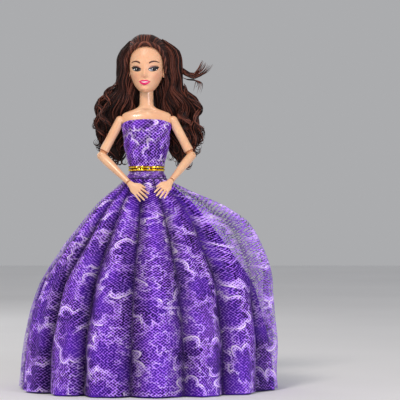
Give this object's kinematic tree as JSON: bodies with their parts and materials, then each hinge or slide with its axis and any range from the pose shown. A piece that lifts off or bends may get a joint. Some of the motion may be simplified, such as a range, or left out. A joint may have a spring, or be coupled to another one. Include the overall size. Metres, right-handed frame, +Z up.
{
  "type": "fashion doll",
  "caption": "Jointed fashion doll in a strapless floor-length ball gown with a sheer lace overskirt, dark wavy hair, arms bent to the waist.",
  "frame": {"origin": "centre of the foot of the overall box, on the floor between the shoes", "axes": "+Z up, the doll faces -Y, its left hand is on the +X side"},
  "size_m": [0.2119, 0.165, 0.29],
  "materials": {
    "skin_vinyl": "soft vinyl, satin",
    "body_plastic": "moulded, satin",
    "joint_plastic": "moulded, semi-matt",
    "hair_fibre": "nylon strands, sheen",
    "satin": "satin weave, glossy",
    "lace": "sheer net with flowers",
    "gold_ribbon": "foil on ribbon, bright",
    "hook_tape": "hook and loop tape",
    "shoe_plastic": "glossy"
  },
  "bodies": {
    "torso": {"torso_front": "body_plastic", "torso_back": "body_plastic", "bodice": "lace", "belt": "gold_ribbon", "yoke": "lace", "back_closure": "hook_tape", "satin_skirt": "satin", "skirt_hem": "satin", "lace_overskirt": "lace"},
    "neck_peg": {"neck_peg": "joint_plastic"},
    "head": {"head": "skin_vinyl", "hair_crown": "hair_fibre", "hair_left_lengths": "hair_fibre", "hair_right_lengths": "hair_fibre", "hair_back_lengths": "hair_fibre"},
    "left_shoulder": {"left_shoulder_hub": "body_plastic", "left_shoulder_pin": "joint_plastic"},
    "left_upper_arm": {"left_upper_arm": "body_plastic"},
    "left_elbow": {"left_elbow_peg": "joint_plastic", "left_elbow_pin": "joint_plastic"},
    "left_forearm": {"left_forearm": "body_plastic"},
    "left_hand": {"left_hand": "body_plastic"},
    "left_hip": {"left_hip_hub": "joint_plastic", "left_hip_pin": "joint_plastic"},
    "left_thigh": {"left_thigh": "body_plastic", "left_knee_pin": "joint_plastic"},
    "left_shin": {"left_shin": "body_plastic", "left_shoe": "shoe_plastic"},
    "right_shoulder": {"right_shoulder_hub": "body_plastic", "right_shoulder_pin": "joint_plastic"},
    "right_upper_arm": {"right_upper_arm": "body_plastic"},
    "right_elbow": {"right_elbow_peg": "joint_plastic", "right_elbow_pin": "joint_plastic"},
    "right_forearm": {"right_forearm": "body_plastic"},
    "right_hand": {"right_hand": "body_plastic"},
    "right_hip": {"right_hip_hub": "joint_plastic", "right_hip_pin": "joint_plastic"},
    "right_thigh": {"right_thigh": "body_plastic", "right_knee_pin": "joint_plastic"},
    "right_shin": {"right_shin": "body_plastic", "right_shoe": "shoe_plastic"}
  },
  "joints": [
    {"name": "head_nod", "type": "hinge", "parent": "torso", "child": "neck_peg", "pos_m": [0, 0, 0.2385], "axis": [1, 0, 0], "range_deg": [-12, 12], "deforming": ["hair_left_lengths", "hair_right_lengths", "hair_back_lengths"]},
    {"name": "head_turn", "type": "hinge", "parent": "neck_peg", "child": "head", "pos_m": [0, 0, 0.2385], "axis": [0, 0, 1], "range_deg": [-80, 80], "deforming": ["hair_left_lengths", "hair_right_lengths", "hair_back_lengths"]},
    {"name": "left_shoulder_swing", "type": "hinge", "parent": "torso", "child": "left_shoulder", "pos_m": [0.0218, 0.001, 0.2203], "axis": [-1, 0, 0], "range_deg": [0, 125]},
    {"name": "left_shoulder_raise", "type": "hinge", "parent": "left_shoulder", "child": "left_upper_arm", "pos_m": [0.0218, 0.001, 0.2203], "axis": [0, -0.9947, 0.1028], "range_deg": [0, 62]},
    {"name": "left_elbow_swivel", "type": "hinge", "parent": "left_upper_arm", "child": "left_elbow", "pos_m": [0.03695, -0.00199, 0.19136], "axis": [0.4617, -0.0912, -0.8823], "range_deg": [-60, 16]},
    {"name": "left_elbow_bend", "type": "hinge", "parent": "left_elbow", "child": "left_forearm", "pos_m": [0.03695, -0.00199, 0.19136], "axis": [-0.5819, 0.7196, -0.3789], "range_deg": [-68, 20]},
    {"name": "left_wrist_turn", "type": "hinge", "parent": "left_forearm", "child": "left_hand", "pos_m": [0.02095, -0.02561, 0.17108], "axis": [0.4572, 0.6748, 0.5794], "range_deg": [-60, 60]},
    {"name": "right_shoulder_swing", "type": "hinge", "parent": "torso", "child": "right_shoulder", "pos_m": [-0.0218, 0.001, 0.2203], "axis": [-1, 0, 0], "range_deg": [0, 125]},
    {"name": "right_shoulder_raise", "type": "hinge", "parent": "right_shoulder", "child": "right_upper_arm", "pos_m": [-0.0218, 0.001, 0.2203], "axis": [0, 0.9947, -0.1028], "range_deg": [0, 62]},
    {"name": "right_elbow_swivel", "type": "hinge", "parent": "right_upper_arm", "child": "right_elbow", "pos_m": [-0.03689, -0.00199, 0.19133], "axis": [0.4602, 0.0913, 0.8831], "range_deg": [-60, 4]},
    {"name": "right_elbow_bend", "type": "hinge", "parent": "right_elbow", "child": "right_forearm", "pos_m": [-0.03689, -0.00199, 0.19133], "axis": [-0.3326, -0.9046, 0.2668], "range_deg": [-72, 20]},
    {"name": "right_wrist_turn", "type": "hinge", "parent": "right_forearm", "child": "right_hand", "pos_m": [-0.01414, -0.01686, 0.16929], "axis": [0.6503, -0.4248, -0.6298], "range_deg": [-60, 60]},
    {"name": "left_hip_swing", "type": "hinge", "parent": "torso", "child": "left_hip", "pos_m": [0.0095, 0, 0.149], "axis": [-1, 0, 0], "range_deg": [-15, 90], "deforming": ["satin_skirt", "lace_overskirt"]},
    {"name": "left_hip_spread", "type": "hinge", "parent": "left_hip", "child": "left_thigh", "pos_m": [0.0095, 0, 0.149], "axis": [0, -1, 0], "range_deg": [0, 25], "deforming": ["satin_skirt", "lace_overskirt"]},
    {"name": "left_knee_bend", "type": "hinge", "parent": "left_thigh", "child": "left_shin", "pos_m": [0.0095, 0, 0.077], "axis": [1, 0, 0], "range_deg": [0, 85]},
    {"name": "right_hip_swing", "type": "hinge", "parent": "torso", "child": "right_hip", "pos_m": [-0.0095, 0, 0.149], "axis": [-1, 0, 0], "range_deg": [-15, 90], "deforming": ["satin_skirt", "lace_overskirt"]},
    {"name": "right_hip_spread", "type": "hinge", "parent": "right_hip", "child": "right_thigh", "pos_m": [-0.0095, 0, 0.149], "axis": [0, 1, 0], "range_deg": [0, 25], "deforming": ["satin_skirt", "lace_overskirt"]},
    {"name": "right_knee_bend", "type": "hinge", "parent": "right_thigh", "child": "right_shin", "pos_m": [-0.0095, 0, 0.077], "axis": [1, 0, 0], "range_deg": [0, 85]}
  ]
}
